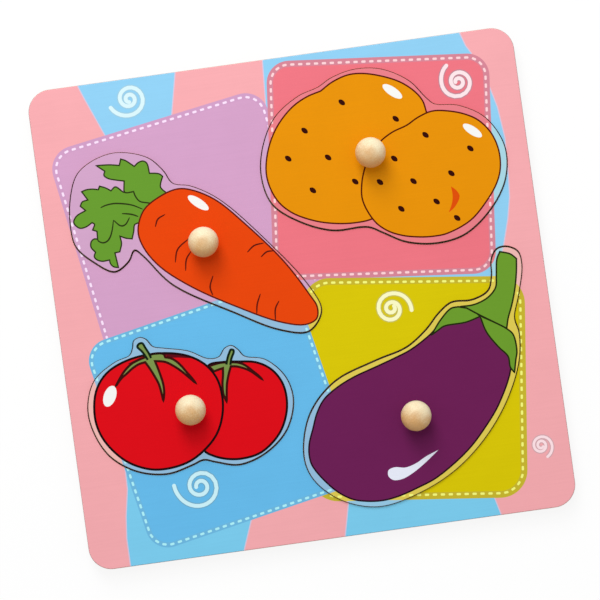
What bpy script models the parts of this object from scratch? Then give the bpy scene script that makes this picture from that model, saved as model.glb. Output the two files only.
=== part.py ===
"""Wooden vegetable puzzle: a plywood frame on a backing, with four knobbed pieces that lift out.

Metres, +Z up. The origin is the middle of the underside. +X runs to the board's right edge and
+Y to its top edge, as the board is looked at from above.
"""
import math

import bmesh
import bpy
from mathutils import Vector

# Board
BOARD_WIDTH = 0.225
BOARD_DEPTH = 0.222
CORNER_RADIUS = 0.0105
CORNER_STEPS = 8
BACKING_THICKNESS = 0.003
FRAME_THICKNESS = 0.005
GLUE_GAP = 0.0003
EDGE_ROUND = 0.0003

# Pieces
PIECE_THICKNESS = 0.006
REST_GAP = 0.0003
SAW_GAP = 0.0006
SEAT_SHIFT = 0.00025
OUTLINE_STEPS = 4

# Knobs
BALL_RADIUS = 0.007
FOOT_RADIUS = 0.0042
FOOT_HEIGHT = 0.0024
TOP_FLAT_RADIUS = 0.0016
KNOB_SEGMENTS = 24
BALL_STEPS = 9

# Screws, driven from under each piece into its knob
SCREW_BITE = 0.0055
SHANK_RADIUS = 0.00125
POINT_LENGTH = 0.0025
HEAD_RADIUS = 0.0026
HEAD_DEPTH = 0.0014
HEAD_INSET = 0.0003
SLOT_WIDTH = 0.0006
SLOT_LENGTH = 0.0026
SLOT_DEPTH = 0.0007
SCREW_GAP = 0.0003
SCREW_SEGMENTS = 16

BACKING_TOP = BACKING_THICKNESS
FRAME_BOTTOM = BACKING_TOP + GLUE_GAP
PIECE_BOTTOM = BACKING_TOP + REST_GAP
PIECE_TOP = PIECE_BOTTOM + PIECE_THICKNESS
KNOB_BOTTOM = PIECE_TOP + REST_GAP
SCREW_BOTTOM = PIECE_BOTTOM + HEAD_INSET
SCREW_LENGTH = KNOB_BOTTOM + SCREW_BITE - SCREW_BOTTOM
SHARP_ANGLE = math.radians(35)
RIM_ANGLE = math.radians(60)
WELD_DISTANCE = 0.00001

# The pieces are laid out from the middle of a drawing that spans the board, in the drawing's
# own units. Each has its knob's place and the middle line of its saw cut, clockwise from the left.
DRAWING_WIDTH = 225.0
DRAWING_DEPTH = 222.0
PIECES = {
    "carrot": {
        "knob": (-40.9, 31.4),
        "cut": [
            (-100.5, 44.0), (-98.8, 60.0), (-93.2, 71.5), (-77.5, 77.8), (-61.5, 73.8),
            (-54.8, 66.7), (-51.3, 60.4), (-43.2, 57.9), (-31.5, 50.4), (-13.2, 29.6),
            (4.2, 5.1), (8.4, -7.0), (1.4, -15.6), (-11.7, -13.2), (-31.7, -2.3),
            (-57.8, 14.2), (-69.3, 29.0), (-72.8, 32.1), (-76.1, 27.5), (-83.2, 23.6),
            (-92.3, 29.4), (-99.0, 36.8),
        ],
    },
    "potatoes": {
        "knob": (40.4, 61.4),
        "cut": [
            (-10.6, 57.5), (-8.2, 70.8), (-0.8, 83.8), (11.2, 92.0), (20.8, 94.9),
            (27.2, 98.2), (38.0, 100.7), (50.5, 99.2), (62.7, 92.0), (69.4, 83.2),
            (72.8, 79.9), (83.3, 77.8), (95.0, 70.5), (102.0, 56.5), (100.6, 42.0),
            (92.5, 29.2), (78.5, 18.6), (64.7, 16.3), (51.0, 18.9), (41.3, 24.4),
            (34.6, 28.0), (18.8, 28.6), (4.7, 34.3), (-7.3, 44.2),
        ],
    },
    "tomatoes": {
        "knob": (-57.2, -43.8),
        "cut": [
            (-104.2, -39.5), (-99.6, -24.8), (-88.6, -17.3), (-81.8, -15.2), (-80.0, -12.2),
            (-79.0, -8.9), (-76.0, -7.7), (-73.2, -9.0), (-70.6, -12.6), (-66.0, -14.0),
            (-54.8, -16.9), (-46.2, -21.6), (-41.2, -21.4), (-38.2, -18.0), (-34.9, -17.1),
            (-32.2, -19.2), (-29.6, -22.7), (-20.5, -25.5), (-12.3, -34.4), (-10.0, -45.5),
            (-14.8, -58.8), (-25.6, -68.0), (-38.7, -71.8), (-49.5, -69.0), (-54.5, -67.4),
            (-60.0, -69.0), (-72.0, -71.5), (-86.5, -68.0), (-98.4, -58.0),
        ],
    },
    "eggplant": {
        "knob": (44.4, -60.6),
        "cut": [
            (-8.9, -72.0), (-3.6, -53.6), (9.6, -40.4), (29.7, -33.3), (44.6, -29.2),
            (54.6, -22.4), (61.3, -15.8), (67.8, -11.7), (77.5, -11.8), (85.2, -8.6),
            (87.7, -2.0), (88.5, 4.9), (91.6, 9.6), (96.0, 10.3), (101.2, 7.4),
            (102.3, 0.9), (98.8, -12.8), (95.6, -22.6), (96.7, -29.8), (94.9, -42.5),
            (87.4, -58.9), (75.4, -74.6), (60.0, -87.5), (42.0, -96.0), (22.0, -99.9),
            (5.0, -94.4), (-6.2, -83.2),
        ],
    },
}

# Base colour, roughness and metallic value of each material
FINISHES = {
    "frame_pink": ((0.89, 0.39, 0.43), 0.42, 0.0),
    "backing_ply": ((0.66, 0.47, 0.27), 0.65, 0.0),
    "carrot_orange": ((0.80, 0.09, 0.01), 0.42, 0.0),
    "potato_ochre": ((0.79, 0.32, 0.01), 0.42, 0.0),
    "tomato_red": ((0.66, 0.01, 0.015), 0.42, 0.0),
    "eggplant_purple": ((0.14, 0.015, 0.09), 0.42, 0.0),
    "knob_beech": ((0.86, 0.66, 0.36), 0.45, 0.0),
    "screw_steel": ((0.60, 0.60, 0.62), 0.35, 1.0),
}
PIECE_FINISH = {
    "carrot": "carrot_orange",
    "potatoes": "potato_ochre",
    "tomatoes": "tomato_red",
    "eggplant": "eggplant_purple",
}


def clear_scene():
    """Empties the scene, so that the model is all that it holds."""
    for item in list(bpy.data.objects):
        bpy.data.objects.remove(item, do_unlink=True)


def new_collection(name):
    """Adds a collection to the scene."""
    collection = bpy.data.collections.new(name)
    bpy.context.scene.collection.children.link(collection)
    return collection


def make_materials():
    """Makes one Principled material for each finish."""
    materials = {}
    for name, (colour, roughness, metallic) in FINISHES.items():
        material = bpy.data.materials.new(name)
        material.use_nodes = True
        shader = material.node_tree.nodes["Principled BSDF"]
        shader.inputs["Base Color"].default_value = (*colour, 1.0)
        shader.inputs["Roughness"].default_value = roughness
        shader.inputs["Metallic"].default_value = metallic
        material.diffuse_color = (*colour, 1.0)
        materials[name] = material
    return materials


def on_board(point):
    """A point of the drawing, in metres from the middle of the board."""
    return Vector((point[0] * BOARD_WIDTH / DRAWING_WIDTH, point[1] * BOARD_DEPTH / DRAWING_DEPTH))


def smooth_loop(points):
    """A closed centripetal Catmull-Rom curve through points of the drawing, in metres."""
    knots = [on_board(point) for point in points]
    count = len(knots)
    loop = []
    for index in range(count):
        before, start, end, after = (knots[(index + shift) % count] for shift in (-1, 0, 1, 2))
        first = math.sqrt((start - before).length)
        second = first + math.sqrt((end - start).length)
        third = second + math.sqrt((after - end).length)
        for step in range(OUTLINE_STEPS):
            at = first + (second - first) * step / OUTLINE_STEPS
            low = before.lerp(start, at / first)
            middle = start.lerp(end, (at - first) / (second - first))
            high = end.lerp(after, (at - second) / (third - second))
            left = low.lerp(middle, at / second)
            right = middle.lerp(high, (at - first) / (third - first))
            loop.append(left.lerp(right, (at - first) / (second - first)))
    return loop


def shifted_loop(loop, outward, along_y=0.0):
    """A clockwise loop moved outward along its own normals, then along Y."""
    moved = []
    for index, point in enumerate(loop):
        tangent = (loop[(index + 1) % len(loop)] - loop[index - 1]).normalized()
        normal = Vector((-tangent.y, tangent.x))
        moved.append(point + normal * outward + Vector((0.0, along_y)))
    return moved


def rounded_rectangle(width, depth, radius):
    """The outline of a board with round corners, in metres."""
    loop = []
    for corner, (side_x, side_y) in enumerate([(1, 1), (-1, 1), (-1, -1), (1, -1)]):
        centre = Vector((side_x * (width / 2 - radius), side_y * (depth / 2 - radius)))
        for step in range(CORNER_STEPS + 1):
            angle = math.radians(90) * (corner + step / CORNER_STEPS)
            loop.append(centre + Vector((math.cos(angle), math.sin(angle))) * radius)
    return loop


def flat_board(name, loops, bottom, thickness, collection, material):
    """A board from flat outlines, the first its edge and the rest its openings, made a mesh."""
    curve = bpy.data.curves.new(name, "CURVE")
    curve.dimensions = "2D"
    curve.fill_mode = "BOTH"
    curve.extrude = thickness / 2
    for loop in loops:
        spline = curve.splines.new("POLY")
        spline.points.add(len(loop) - 1)
        for point, place in zip(spline.points, loop):
            point.co = (place.x, place.y, 0.0, 1.0)
        spline.use_cyclic_u = True
    flat = bpy.data.objects.new(name + "_curve", curve)
    flat.location.z = bottom + thickness / 2
    bpy.context.scene.collection.objects.link(flat)
    bpy.context.view_layer.update()
    evaluated = flat.evaluated_get(bpy.context.evaluated_depsgraph_get())
    mesh = bpy.data.meshes.new_from_object(evaluated)
    mesh.name = name
    shape = bmesh.new()
    shape.from_mesh(mesh)
    bmesh.ops.remove_doubles(shape, verts=shape.verts, dist=WELD_DISTANCE)
    bmesh.ops.recalc_face_normals(shape, faces=shape.faces)
    shape.to_mesh(mesh)
    shape.free()
    board = bpy.data.objects.new(name, mesh)
    board.matrix_world = flat.matrix_world.copy()
    collection.objects.link(board)
    bpy.data.objects.remove(flat, do_unlink=True)
    mesh.materials.clear()
    mesh.materials.append(material)
    mesh.set_sharp_from_angle(angle=SHARP_ANGLE)
    return board


def round_edges(board):
    """Eases the sharp rims of a board."""
    bevel = board.modifiers.new("eased_edges", "BEVEL")
    bevel.width = EDGE_ROUND
    bevel.segments = 1
    bevel.limit_method = "ANGLE"
    bevel.angle_limit = RIM_ANGLE


def turned(name, profile, segments, collection, material=None):
    """A turned solid from a profile of (radius, height) that runs from its top to its bottom."""
    mesh = bpy.data.meshes.new(name)
    shape = bmesh.new()
    corners = [shape.verts.new((radius, 0.0, height)) for radius, height in profile]
    for upper, lower in zip(corners, corners[1:]):
        shape.edges.new((upper, lower))
    shape.to_mesh(mesh)
    shape.free()
    solid = bpy.data.objects.new(name, mesh)
    collection.objects.link(solid)
    screw = solid.modifiers.new("turn", "SCREW")
    screw.steps = segments
    screw.render_steps = segments
    screw.use_merge_vertices = True
    screw.merge_threshold = WELD_DISTANCE
    screw.use_smooth_shade = True
    if material:
        mesh.materials.append(material)
    return solid


def cut_away(board, cutter):
    """Takes a cutter out of a board."""
    cutter.hide_render = True
    cutter.display_type = "WIRE"
    cut = board.modifiers.new("cut_" + cutter.name, "BOOLEAN")
    cut.operation = "DIFFERENCE"
    cut.solver = "EXACT"
    cut.object = cutter


def knob_profile():
    """A ball on a short foot, with a pilot hole for the screw up its axis."""
    first = math.asin(TOP_FLAT_RADIUS / BALL_RADIUS)
    last = math.pi - math.asin(FOOT_RADIUS / BALL_RADIUS)
    ball_middle = FOOT_HEIGHT - BALL_RADIUS * math.cos(last)
    top = ball_middle + BALL_RADIUS * math.cos(first)
    hole_radius = SHANK_RADIUS + SCREW_GAP
    hole_top = SCREW_BITE + SCREW_GAP
    profile = [(0.0, top)]
    for step in range(BALL_STEPS + 1):
        angle = first + (last - first) * step / BALL_STEPS
        profile.append((BALL_RADIUS * math.sin(angle), ball_middle + BALL_RADIUS * math.cos(angle)))
    profile.append((FOOT_RADIUS, 0.0))
    profile.append((hole_radius, 0.0))
    profile.append((hole_radius, hole_top - POINT_LENGTH))
    profile.append((0.0, hole_top))
    return profile


def screw_profile():
    """A countersunk wood screw, head down, with its point at the top."""
    return [
        (0.0, SCREW_LENGTH),
        (SHANK_RADIUS, SCREW_LENGTH - POINT_LENGTH),
        (SHANK_RADIUS, HEAD_DEPTH),
        (HEAD_RADIUS, 0.0),
        (0.0, 0.0),
    ]


def countersink_profile():
    """The space that a screw's head and shank take in a piece, with their clearance."""
    below = -2 * REST_GAP
    above = PIECE_THICKNESS + 2 * REST_GAP
    wide = HEAD_RADIUS + SCREW_GAP
    narrow = SHANK_RADIUS + SCREW_GAP
    return [
        (0.0, above),
        (narrow, above),
        (narrow, HEAD_INSET + HEAD_DEPTH),
        (wide, HEAD_INSET),
        (wide, below),
        (0.0, below),
    ]


def drive_slot(name, turn, screw, lift, cutters):
    """One bar of the cross in a screw's head."""
    bpy.ops.mesh.primitive_cube_add(size=1.0)
    bar = bpy.context.object
    bar.name = name
    shape = bmesh.new()
    shape.from_mesh(bar.data)
    bmesh.ops.scale(shape, verts=shape.verts, vec=(SLOT_LENGTH, SLOT_WIDTH, 2 * SLOT_DEPTH))
    shape.to_mesh(bar.data)
    shape.free()
    for holder in list(bar.users_collection):
        holder.objects.unlink(bar)
    cutters.objects.link(bar)
    bar.location = screw.location
    bar.rotation_euler.z = turn
    bar.parent = lift
    cut_away(screw, bar)


def make_board(parts, materials):
    """The backing, and the frame with an opening for each piece."""
    edge = rounded_rectangle(BOARD_WIDTH, BOARD_DEPTH, CORNER_RADIUS)
    backing = flat_board(
        "backing_board", [edge], 0.0, BACKING_THICKNESS, parts, materials["backing_ply"]
    )
    round_edges(backing)
    openings = []
    for plan in PIECES.values():
        openings.append(shifted_loop(smooth_loop(plan["cut"]), SAW_GAP / 2))
    frame = flat_board(
        "frame_board", [edge] + openings, FRAME_BOTTOM, FRAME_THICKNESS, parts, materials["frame_pink"]
    )
    round_edges(frame)


def make_piece(name, plan, parts, cutters, materials):
    """One lift-out piece with its knob and screw, on an empty at the knob's foot."""
    outline = shifted_loop(smooth_loop(plan["cut"]), -SAW_GAP / 2, SEAT_SHIFT)
    place = on_board(plan["knob"])
    lift = bpy.data.objects.new(name + "_lift", None)
    lift.location = (place.x, place.y, 0.0)
    lift.empty_display_size = BALL_RADIUS
    parts.objects.link(lift)

    piece = flat_board(
        name + "_piece",
        [[point - place for point in outline]],
        PIECE_BOTTOM,
        PIECE_THICKNESS,
        parts,
        materials[PIECE_FINISH[name]],
    )
    round_edges(piece)
    bore = turned(name + "_screw_bore", countersink_profile(), SCREW_SEGMENTS, cutters)
    bore.location.z = PIECE_BOTTOM
    bore.parent = lift
    cut_away(piece, bore)

    knob = turned(name + "_knob", knob_profile(), KNOB_SEGMENTS, parts, materials["knob_beech"])
    knob.location.z = KNOB_BOTTOM
    screw = turned(name + "_knob_screw", screw_profile(), SCREW_SEGMENTS, parts, materials["screw_steel"])
    screw.location.z = SCREW_BOTTOM
    for number, turn in enumerate((0.0, math.radians(90))):
        drive_slot("%s_drive_slot_%d" % (name, number), turn, screw, lift, cutters)
    for child in (piece, knob, screw):
        child.parent = lift


def main():
    clear_scene()
    parts = new_collection("wooden_puzzle")
    cutters = new_collection("cutters")
    materials = make_materials()
    make_board(parts, materials)
    for name, plan in PIECES.items():
        make_piece(name, plan, parts, cutters, materials)
    bpy.context.view_layer.update()


main()
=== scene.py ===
import math

import bmesh
import bpy
from bpy.props import FloatProperty, FloatVectorProperty, IntProperty, PointerProperty
from mathutils import Matrix, Vector, geometry


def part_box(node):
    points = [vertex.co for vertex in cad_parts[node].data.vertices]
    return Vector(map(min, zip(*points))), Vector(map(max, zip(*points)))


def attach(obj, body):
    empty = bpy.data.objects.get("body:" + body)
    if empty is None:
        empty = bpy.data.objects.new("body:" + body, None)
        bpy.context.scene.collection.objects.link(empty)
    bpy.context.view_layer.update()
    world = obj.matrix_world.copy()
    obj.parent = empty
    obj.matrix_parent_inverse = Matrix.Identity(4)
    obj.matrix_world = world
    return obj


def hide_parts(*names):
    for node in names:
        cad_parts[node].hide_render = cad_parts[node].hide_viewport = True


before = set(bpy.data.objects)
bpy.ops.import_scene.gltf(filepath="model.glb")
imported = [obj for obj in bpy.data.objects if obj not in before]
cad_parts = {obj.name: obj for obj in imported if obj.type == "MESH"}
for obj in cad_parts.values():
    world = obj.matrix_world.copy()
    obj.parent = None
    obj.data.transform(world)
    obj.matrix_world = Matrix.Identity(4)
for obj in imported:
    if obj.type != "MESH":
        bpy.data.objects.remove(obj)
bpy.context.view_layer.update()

bl_info = {
    "name": "Wooden Vegetable Puzzle",
    "version": (1, 0, 0),
    "blender": (4, 5, 0),
    "location": "View3D > Sidebar > Puzzle",
    "description": "Dresses a wooden lift-out puzzle: printed plywood, turned knobs and a plain stage",
    "category": "Object",
}

MM = 0.001
VEGETABLES = ("carrot", "potatoes", "tomatoes", "eggplant")

# Steps of curves and rims, and how many of a rim's steps carry the print
CURVE_STEPS = 5
CORNER_STEPS = 24
OVAL_STEPS = 24
RIM_STEPS = 4
PRINTED_STEPS = 2
BALL_STEPS = 26

# Upward part of a normal: below the first on a wall, below the second on the rim above it, over the
# third on a flat face
WALL_TILT = 0.2
RIM_TILT = 0.9
FLAT_TILT = 0.99

# Metres for meshes, millimetres for drawings
WELD_DISTANCE = 0.000002
DRAWING_WELD = 0.0005

# Colours closer than this are one ink
SAME_INK = 0.0001

# Makes the cut of a drawing keep what lies inside its outlines, in triangles
INSIDE_TRIANGLES = 1

WHITE = (1.0, 1.0, 1.0, 1.0)

# Printed inks, as screen colours from 0 to 255
INKS = {
    "pink": (245, 171, 176),
    "sky": (144, 207, 242),
    # The lower sky stripes take a deeper, darker copy of the sky ink: painted shade towards the board's
    # bottom edge, away from the lamps
    "sky_low": (124, 205, 239),
    "lilac": (212, 161, 200),
    "lilac_hem": (208, 158, 198),
    "lilac_stitch": (250, 226, 250),
    "rose": (238, 118, 131),
    "rose_hem": (213, 134, 151),
    "rose_stitch": (253, 212, 216),
    "chartreuse": (217, 199, 2),
    "chartreuse_hem": (200, 183, 48),
    "chartreuse_stitch": (247, 251, 128),
    "blue": (103, 188, 236),
    "blue_hem": (110, 184, 224),
    "blue_stitch": (176, 242, 250),
    "pink_margin": (240, 186, 180),
    "sky_margin": (168, 214, 227),
    "sky_low_margin": (150, 200, 228),
    "lilac_margin": (209, 164, 200),
    "rose_margin": (232, 127, 136),
    "chartreuse_margin": (222, 202, 84),
    "blue_margin": (147, 189, 220),
    "sky_spiral": (217, 244, 249),
    "rose_spiral": (252, 229, 233),
    "chartreuse_spiral": (251, 250, 198),
    "blue_spiral": (205, 243, 251),
    "pink_spiral": (255, 226, 231),
    "sky_halo": (158, 203, 224),
    "rose_halo": (190, 136, 150),
    "chartreuse_halo": (198, 188, 92),
    "blue_halo": (112, 172, 203),
    "pink_halo": (211, 168, 174),
    "sky_line": (216, 196, 220),
    "sky_low_line": (216, 196, 220),
    "carrot": (232, 70, 5),
    "carrot_line": (96, 20, 8),
    "leaf": (103, 155, 47),
    "leaf_line": (42, 52, 18),
    "potato": (231, 146, 2),
    "potato_line": (84, 14, 0),
    "potato_eye": (52, 8, 2),
    "potato_shade": (222, 78, 4),
    "tomato": (222, 8, 22),
    "tomato_shade": (92, 8, 22),
    "stem_line": (12, 32, 14),
    "tomato_line": (28, 4, 8),
    "sepal": (122, 148, 76),
    "sepal_line": (60, 10, 8),
    "eggplant": (108, 30, 85),
    "eggplant_line": (34, 8, 22),
    "calyx": (108, 156, 45),
    "calyx_line": (32, 40, 8),
    "highlight": (246, 246, 243),
    "cool_highlight": (232, 236, 250),
}

# Wood and steel, as screen colours
WOODS = {
    "veneer_light": (232, 208, 168),
    "veneer_dark": (205, 172, 124),
    "edge_long_grain": (176, 134, 90),
    "edge_end_grain": (134, 95, 60),
    "edge_glue": (82, 54, 34),
    # The knob's pale and tan colours are painted light: pale on the side towards the lamps, tan painted
    # shade on the side away from them
    "knob_painted_lit_side": (247, 234, 197),
    "knob_painted_shade_side": (226, 174, 110),
    "knob_core": (218, 166, 104),
    "steel": (196, 197, 200),
}

# The picture. Every point below is in millimetres from the middle of the board.
EVERYWHERE = [(-200.0, -200.0), (200.0, -200.0), (200.0, 200.0), (-200.0, 200.0)]
SKY_STRIPES = [
    ("sky", [(-89.3, 113.0), (-86.0, 104.0), (-78.5, 85.0), (-48.9, 85.0), (-42.7, 113.0)]),
    ("sky", [
        (-2.6, 113.0), (-4.7, 80.0), (50.0, 80.0), (92.8, 98.0), (92.8, 100.8), (90.7, 104.5),
        (88.0, 113.0),
    ]),
    ("sky", [
        (99.0, 84.0), (101.2, 74.7), (102.7, 60.0), (101.9, 43.0), (101.0, 33.0), (98.8, 23.0),
        (95.5, 12.2), (92.0, 2.0), (90.0, -8.0), (10.0, 0.0), (10.0, 14.0), (80.0, 14.0), (90.0, 80.0),
    ]),
    # The two lower stripes, in the copy of the sky ink with painted shade
    ("sky_low", [
        (-90.7, -58.0), (-91.1, -75.7), (-93.4, -88.0), (-94.5, -98.0), (-94.5, -113.0), (-42.8, -113.0),
        (-36.8, -97.6), (-36.0, -80.0),
    ]),
    ("sky_low", [
        (8.2, -88.0), (8.2, -96.4), (6.8, -102.4), (4.2, -113.0), (77.5, -113.0), (74.9, -102.3),
        (74.0, -92.0),
    ]),
]

# The stitched line of each patch, lowest patch first, anticlockwise from its top left corner
PATCHES = {
    "lilac": [(-104.8, 80.5), (-89.4, -15.0), (10.0, -10.0), (-6.5, 96.5)],
    "rose": [(0.4, 108.0), (-9.6, 11.2), (88.6, 1.1), (98.7, 98.3)],
    "chartreuse": [(2.8, 6.7), (-6.0, -91.2), (88.3, -102.3), (100.4, -5.7)],
    "blue": [(-100.9, -9.3), (-82.1, -105.0), (14.7, -86.2), (-4.5, 9.9)],
}
PATCH_RADIUS = {"lilac": 9.0, "rose": 8.5, "chartreuse": 10.5, "blue": 9.0}
PATCH_HEM = {"lilac": 1.8, "rose": 1.8, "chartreuse": 2.1, "blue": 1.3}

# Each spiral's middle, breadth of line, ground and (angle in degrees, radius) from its tail inward
SPIRALS = [
    ((-65.6, 101.6), 1.75, "sky", [
        (197, 9.6), (260, 7.6), (352, 6.05), (450, 5.2), (530, 4.5), (620, 3.3), (720, 2.3), (815, 2.0),
        (900, 1.8), (975, 1.45),
    ]),
    ((84.8, 88.5), 1.75, "rose", [
        (117, 9.2), (166, 7.7), (228, 7.0), (339, 5.6), (367, 5.35), (445, 4.4), (533, 3.15), (634, 2.6),
        (725, 2.3), (810, 1.65), (895, 1.1),
    ]),
    ((40.1, -10.2), 1.75, "chartreuse", [
        (-13, 9.4), (25, 8.3), (78, 6.85), (174, 5.8), (268, 5.2), (346, 4.0), (437, 2.8), (545, 2.3),
        (692, 1.8), (750, 1.65),
    ]),
    ((-57.5, -79.2), 1.75, "blue", [
        (170, 12.4), (203, 10.7), (256, 8.85), (325, 7.4), (445, 6.3), (540, 5.15), (615, 3.75),
        (720, 2.8), (813, 2.7), (897, 2.25),
    ]),
    ((99.5, -81.9), 1.2, "pink", [
        (-69, 6.0), (-10, 5.0), (83, 3.9), (163, 3.45), (246, 2.95), (355, 2.1), (450, 2.0), (533, 1.6),
        (621, 1.3), (680, 1.1),
    ]),
]

# How much broader than the spiral the soft line under it is
HALO = 0.9

# Degrees of a spiral that weigh as much as a millimetre where its curve is smoothed
SPIRAL_TURN = 30.0

# A leaf or a mark with sharp corners is a list of runs. Each ends where the next one starts.
CARROT_BODY = [
    (-66.1, 50.0), (-57.5, 55.4), (-49.8, 57.5), (-44.0, 56.5), (-33.2, 50.4), (-20.7, 37.1),
    (-5.7, 17.9), (3.8, 1.3), (6.6, -5.0), (5.6, -10.2), (0.0, -12.2), (-11.7, -9.2),
    (-30.2, 0.4), (-48.6, 11.7), (-62.3, 23.3), (-68.6, 33.2), (-70.0, 41.0),
]
CARROT_TOP_LEAF = [
    [(-85.0, 73.3), (-79.0, 72.8)],
    [(-74.4, 71.9)],
    [(-73.4, 74.7), (-71.3, 73.7), (-69.2, 71.9)],
    [(-67.7, 70.5), (-65.6, 72.0), (-63.4, 72.4), (-61.8, 71.2)],
    [(-61.2, 66.4), (-58.3, 66.0), (-56.6, 65.4)],
    [(-55.4, 64.2), (-56.8, 61.0), (-57.0, 59.3), (-55.0, 56.7)],
    [(-52.0, 54.0), (-64.0, 48.0), (-72.0, 55.0)],
    [(-73.9, 60.2)],
    [(-73.2, 64.5), (-77.0, 65.5), (-80.4, 66.7), (-82.0, 68.3)],
    [(-81.4, 70.2)],
]
CARROT_MAIN_LEAF = [
    [(-93.2, 62.3), (-91.0, 62.9), (-88.0, 62.8)],
    [(-85.5, 62.2)],
    [(-84.7, 63.7), (-82.2, 62.6)],
    [(-79.8, 60.9), (-77.6, 62.4)],
    [(-74.4, 59.6), (-72.8, 59.0)],
    [(-69.6, 59.1), (-69.0, 56.8), (-67.4, 54.3)],
    [(-63.2, 52.9), (-62.0, 46.0)],
    [(-69.8, 44.5), (-71.2, 43.9), (-72.0, 41.0)],
    [(-73.2, 37.7), (-76.0, 38.4)],
    [(-78.6, 39.7), (-78.3, 36.3)],
    [(-79.6, 32.6)],
    [(-81.9, 32.4), (-81.6, 29.5)],
    [(-81.2, 25.5), (-83.4, 26.2), (-84.6, 27.8)],
    [(-84.8, 29.5), (-88.3, 29.4), (-90.6, 30.5), (-91.5, 32.0)],
    [(-90.7, 33.9), (-92.4, 36.5), (-92.0, 38.9), (-90.6, 40.0)],
    [(-88.9, 39.8)],
    [(-88.7, 43.3)],
    [(-90.6, 44.2), (-89.4, 46.7)],
    [(-90.4, 47.6), (-93.5, 46.0), (-96.5, 45.9), (-98.7, 48.7), (-97.2, 51.4)],
    [(-92.6, 53.5)],
    [(-94.7, 55.8), (-93.6, 57.6)],
    [(-90.9, 58.2)],
]
CARROT_VEINS = [
    [(-85.6, 53.8), (-83.5, 54.5), (-79.5, 54.9), (-75.0, 54.2), (-71.0, 53.0), (-66.5, 50.5)],
    [(-76.3, 49.8), (-73.5, 49.3), (-71.0, 48.5), (-69.0, 47.4)],
    [
        (-89.2, 40.0), (-88.4, 38.6), (-86.5, 37.7), (-84.5, 38.3), (-83.0, 40.0), (-81.7, 43.0),
        (-80.5, 47.4),
    ],
    [(-80.5, 47.4), (-78.0, 44.6), (-76.5, 44.2), (-75.0, 44.9), (-73.0, 47.6)],
]
CARROT_CREASES = [
    [(-61.9, 41.7), (-60.3, 45.0), (-56.7, 46.7)],
    [(-55.1, 24.2), (-53.2, 30.0), (-47.3, 34.3)],
    [(-50.9, 19.8), (-49.8, 25.0), (-47.3, 28.2)],
    [(-21.7, 24.3), (-18.2, 26.9), (-13.6, 27.5)],
    [(-15.8, 21.3), (-12.8, 23.3), (-9.8, 23.3)],
    [(-40.1, 6.9), (-40.8, 10.8), (-38.8, 15.8)],
    [(-21.3, -4.2), (-20.5, 0.0), (-18.4, 4.6)],
    [(-13.2, -8.3), (-12.5, -3.1), (-10.4, 0.2)],
]

POTATO_BACK = [
    [
        (21.8, 93.0), (15.0, 91.2), (7.5, 87.2), (-0.8, 78.8), (-6.3, 68.0), (-8.1, 57.0), (-5.0, 46.3),
        (0.8, 39.7), (10.0, 34.7), (19.2, 32.0), (29.2, 30.9), (38.0, 31.8),
    ],
    [(55.0, 40.0), (66.0, 66.0)],
    [
        (68.6, 76.5), (67.5, 82.2), (64.2, 87.2), (58.3, 92.2), (50.0, 96.1), (41.7, 98.4), (35.0, 98.6),
        (27.5, 96.3),
    ],
]
POTATO_FRONT = [
    (58.8, 72.0), (51.7, 69.7), (45.8, 66.3), (40.5, 61.3), (37.0, 55.1), (34.6, 48.0),
    (34.0, 40.5), (38.0, 30.5), (43.0, 25.5), (49.7, 22.2), (58.0, 20.3), (64.7, 19.8),
    (70.5, 20.3), (81.7, 24.7), (90.0, 32.2), (95.8, 39.7), (98.5, 46.3), (99.0, 54.7),
    (96.7, 63.0), (91.7, 69.7), (85.8, 73.4), (78.3, 75.9), (71.0, 76.8), (64.2, 74.8),
]
POTATO_EYES = [
    (30.7, 86.5), (12.0, 76.0), (54.2, 75.6), (2.8, 64.3), (21.0, 62.3), (12.0, 48.3),
    (31.8, 49.6), (66.7, 66.4), (51.0, 57.6), (86.2, 57.4), (43.0, 47.8), (58.3, 46.1),
    (76.0, 47.3), (51.0, 34.3), (67.5, 35.4), (75.8, 26.6),
]
POTATO_CRESCENT = [
    [(75.0, 41.4), (77.2, 39.2), (78.3, 36.6), (77.3, 34.1), (74.8, 31.2)],
    [(72.3, 29.7), (73.8, 32.4), (74.8, 35.0), (75.2, 38.0)],
]

TOMATO_SMALL = [
    (-46.3, -24.5), (-50.0, -30.0), (-52.0, -45.0), (-53.0, -58.0), (-53.6, -63.1), (-50.2, -65.8),
    (-44.0, -68.2), (-36.5, -69.0), (-27.8, -67.3), (-18.6, -60.0), (-14.0, -50.8), (-13.1, -42.3),
    (-14.6, -35.8), (-18.6, -30.0), (-24.8, -26.2), (-32.5, -24.8), (-40.2, -24.0),
]
TOMATO_BIG = [
    (-101.3, -40.8), (-99.8, -49.2), (-95.5, -56.9), (-88.6, -63.8), (-79.0, -68.2), (-70.0, -68.8),
    (-60.9, -66.9), (-52.6, -62.0), (-46.7, -55.8), (-43.2, -47.7), (-42.2, -39.2), (-43.6, -30.8),
    (-48.4, -23.6), (-57.0, -18.3), (-70.9, -15.9), (-84.0, -17.5), (-93.5, -22.0), (-99.2, -29.5),
]
TOMATO_BIG_TOP = [
    [(-74.2, -16.8), (-78.0, -17.8), (-81.0, -18.9), (-83.5, -20.6), (-86.0, -23.0), (-88.3, -26.0)],
    [(-90.0, -28.4), (-87.0, -25.2), (-84.2, -23.3), (-81.0, -21.1), (-78.0, -19.7)],
    [(-75.0, -19.2), (-73.4, -22.2), (-71.7, -26.0), (-70.2, -30.0), (-69.6, -34.0)],
    [(-69.2, -38.0), (-68.3, -34.3), (-68.2, -30.3), (-68.9, -26.0), (-69.8, -22.0)],
    [(-70.5, -19.3), (-66.0, -20.3), (-62.5, -22.6), (-59.5, -25.2), (-56.5, -28.4)],
    [(-53.2, -32.1), (-55.0, -29.0), (-57.0, -26.0), (-58.8, -23.2), (-60.8, -20.8), (-63.0, -19.1)],
    [(-65.6, -18.2), (-66.2, -16.6), (-70.9, -15.9)],
]
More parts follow.
